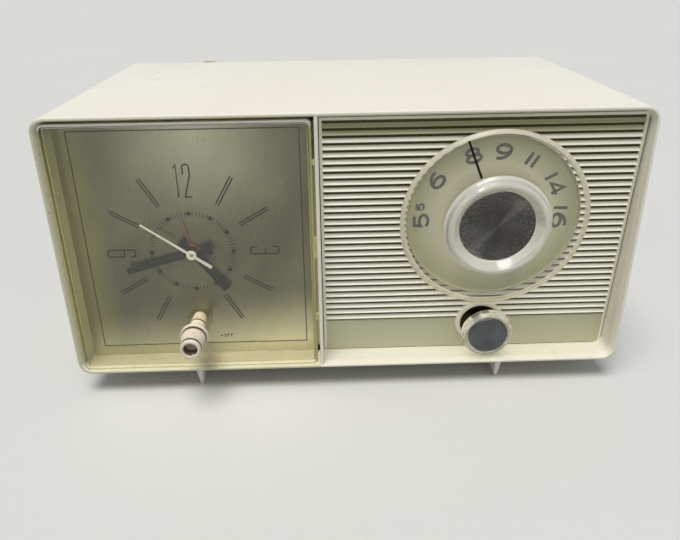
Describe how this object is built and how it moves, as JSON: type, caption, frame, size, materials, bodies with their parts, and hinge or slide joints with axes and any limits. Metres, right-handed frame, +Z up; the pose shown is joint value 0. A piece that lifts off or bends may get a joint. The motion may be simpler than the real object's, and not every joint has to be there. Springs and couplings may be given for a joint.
{
  "type": "clock radio",
  "caption": "Table clock radio: tapered moulded cabinet, clock behind a clear crystal, leaning louvred panel with a large clear tuning knob and a small volume knob.",
  "frame": {"origin": "floor under the runners, at the middle of the overall box", "axes": "+X to the right seen from the front, +Y to the back, +Z up"},
  "size_m": [0.28, 0.1874, 0.1455],
  "materials": {
    "cabinet_plastic": "polished moulded cream",
    "panel_plastic": "satin moulded greenish cream",
    "ivory_plastic": "polished ivory",
    "clear_plastic": "clear, slightly yellowed",
    "dial_metal": "brushed, printed",
    "scale_paint": "painted, printed",
    "hand_black": "satin black",
    "hand_white": "satin white",
    "hand_red": "satin red",
    "insert_metal": "spun, dark",
    "brass": "plain",
    "steel": "plated",
    "laminations": "lacquered",
    "winding": "taped copper winding",
    "fibreboard": "pressed brown board",
    "black_rubber": "matt",
    "bakelite": "brown moulding",
    "board": "laminate",
    "cone_paper": "pressed paper",
    "ferrite": "matt",
    "capacitor_sleeve": "shrunk sleeve"
  },
  "bodies": {
    "cabinet": {"cabinet_shell": "cabinet_plastic", "louvre_panel": "panel_plastic", "left_foot": "cabinet_plastic", "right_foot": "cabinet_plastic", "rear_cover": "fibreboard", "case_screws": "steel", "cord_gland": "black_rubber", "clock_crystal": "clear_plastic", "clock_dial": "dial_metal", "movement_front_plate": "brass", "movement_back_plate": "brass", "movement_pillars": "brass", "motor_can": "brass", "motor_core": "laminations", "motor_coil": "winding", "radio_switch": "bakelite", "scale_plate": "scale_paint", "tuning_stator": "dial_metal", "tuning_frame": "steel", "volume_control": "bakelite", "volume_bracket": "steel", "speaker_frame": "steel", "speaker_cone": "cone_paper", "speaker_magnet": "ferrite", "speaker_screws": "steel", "circuit_board": "board", "coil_cans": "dial_metal", "filter_capacitors": "capacitor_sleeve", "transformer_core": "laminations", "transformer_winding": "winding", "ferrite_rod": "ferrite", "antenna_coil": "winding"},
    "time_set": {"set_shaft": "steel", "time_set_knob": "ivory_plastic"},
    "idler": {"set_idler": "brass"},
    "minute_work": {"minute_wheel": "brass"},
    "minute": {"minute_hand": "hand_black", "cannon_pinion": "brass"},
    "hour": {"hour_hand": "hand_black", "hour_wheel": "brass"},
    "second": {"second_hand": "hand_white", "second_wheel": "brass"},
    "motor": {"motor_pinion": "brass"},
    "third": {"third_wheel": "brass"},
    "centre": {"centre_wheel": "brass"},
    "alarm_set": {"alarm_set_shaft": "steel", "alarm_set_knob": "ivory_plastic"},
    "alarm": {"alarm_hand": "hand_red", "alarm_wheel": "brass"},
    "selector": {"selector_knob": "ivory_plastic", "selector_shaft": "steel", "selector_cam": "ivory_plastic"},
    "tuning": {"tuning_knob": "clear_plastic", "tuning_insert": "insert_metal", "tuning_shaft": "steel", "tuning_rotor": "dial_metal"},
    "volume": {"volume_knob": "clear_plastic", "volume_insert": "insert_metal", "volume_shaft": "steel"}
  },
  "joints": [
    {"name": "time_set_turn", "type": "hinge", "parent": "cabinet", "child": "time_set", "pos_m": [-0.08347, -0.0607, 0.1372], "axis": [0, -1, 0], "continuous": true},
    {"name": "idler_turn", "type": "hinge", "parent": "cabinet", "child": "idler", "pos_m": [-0.07491, -0.0607, 0.12182], "axis": [0, -1, 0], "continuous": true},
    {"name": "minute_wheel_turn", "type": "hinge", "parent": "cabinet", "child": "minute_work", "pos_m": [-0.07697, -0.0607, 0.0947], "axis": [0, -1, 0], "continuous": true},
    {"name": "minute_turn", "type": "hinge", "parent": "cabinet", "child": "minute", "pos_m": [-0.07697, -0.0607, 0.0755], "axis": [0, -1, 0], "continuous": true},
    {"name": "hour_turn", "type": "hinge", "parent": "cabinet", "child": "hour", "pos_m": [-0.07697, -0.0607, 0.0755], "axis": [0, -1, 0], "continuous": true},
    {"name": "second_turn", "type": "hinge", "parent": "cabinet", "child": "second", "pos_m": [-0.07697, -0.0607, 0.0755], "axis": [0, -1, 0], "continuous": true},
    {"name": "motor_turn", "type": "hinge", "parent": "cabinet", "child": "motor", "pos_m": [-0.0897, -0.0607, 0.06277], "axis": [0, -1, 0], "continuous": true},
    {"name": "third_turn", "type": "hinge", "parent": "cabinet", "child": "third", "pos_m": [-0.05997, -0.0607, 0.0755], "axis": [0, -1, 0], "continuous": true},
    {"name": "centre_turn", "type": "hinge", "parent": "cabinet", "child": "centre", "pos_m": [-0.07697, -0.0607, 0.0755], "axis": [0, -1, 0], "continuous": true},
    {"name": "alarm_set_turn", "type": "hinge", "parent": "cabinet", "child": "alarm_set", "pos_m": [-0.10295, -0.0607, 0.0905], "axis": [0, -1, 0], "continuous": true},
    {"name": "alarm_turn", "type": "hinge", "parent": "cabinet", "child": "alarm", "pos_m": [-0.07697, -0.0607, 0.0755], "axis": [0, -1, 0], "continuous": true},
    {"name": "selector_turn", "type": "hinge", "parent": "cabinet", "child": "selector", "pos_m": [-0.07697, -0.0607, 0.0385], "axis": [0, -1, 0], "range_deg": [-120, 0]},
    {"name": "tuning_turn", "type": "hinge", "parent": "cabinet", "child": "tuning", "pos_m": [0.0689, -0.06518, 0.09355], "axis": [0, -0.9969, -0.0785], "range_deg": [-110, 70]},
    {"name": "volume_turn", "type": "hinge", "parent": "cabinet", "child": "volume", "pos_m": [0.071, -0.06025, 0.03094], "axis": [0, -0.9969, -0.0785], "range_deg": [-150, 150]}
  ],
  "couplings": [
    {"joint": "idler_turn", "follows": "time_set_turn", "ratio": -0.375},
    {"joint": "minute_wheel_turn", "follows": "time_set_turn", "ratio": 0.33333},
    {"joint": "minute_turn", "follows": "time_set_turn", "ratio": -1},
    {"joint": "hour_turn", "follows": "time_set_turn", "ratio": -0.083333},
    {"joint": "motor_turn", "follows": "second_turn", "ratio": -5},
    {"joint": "third_turn", "follows": "second_turn", "ratio": -0.13333},
    {"joint": "centre_turn", "follows": "second_turn", "ratio": 0.016667},
    {"joint": "alarm_turn", "follows": "alarm_set_turn", "ratio": -0.25}
  ]
}
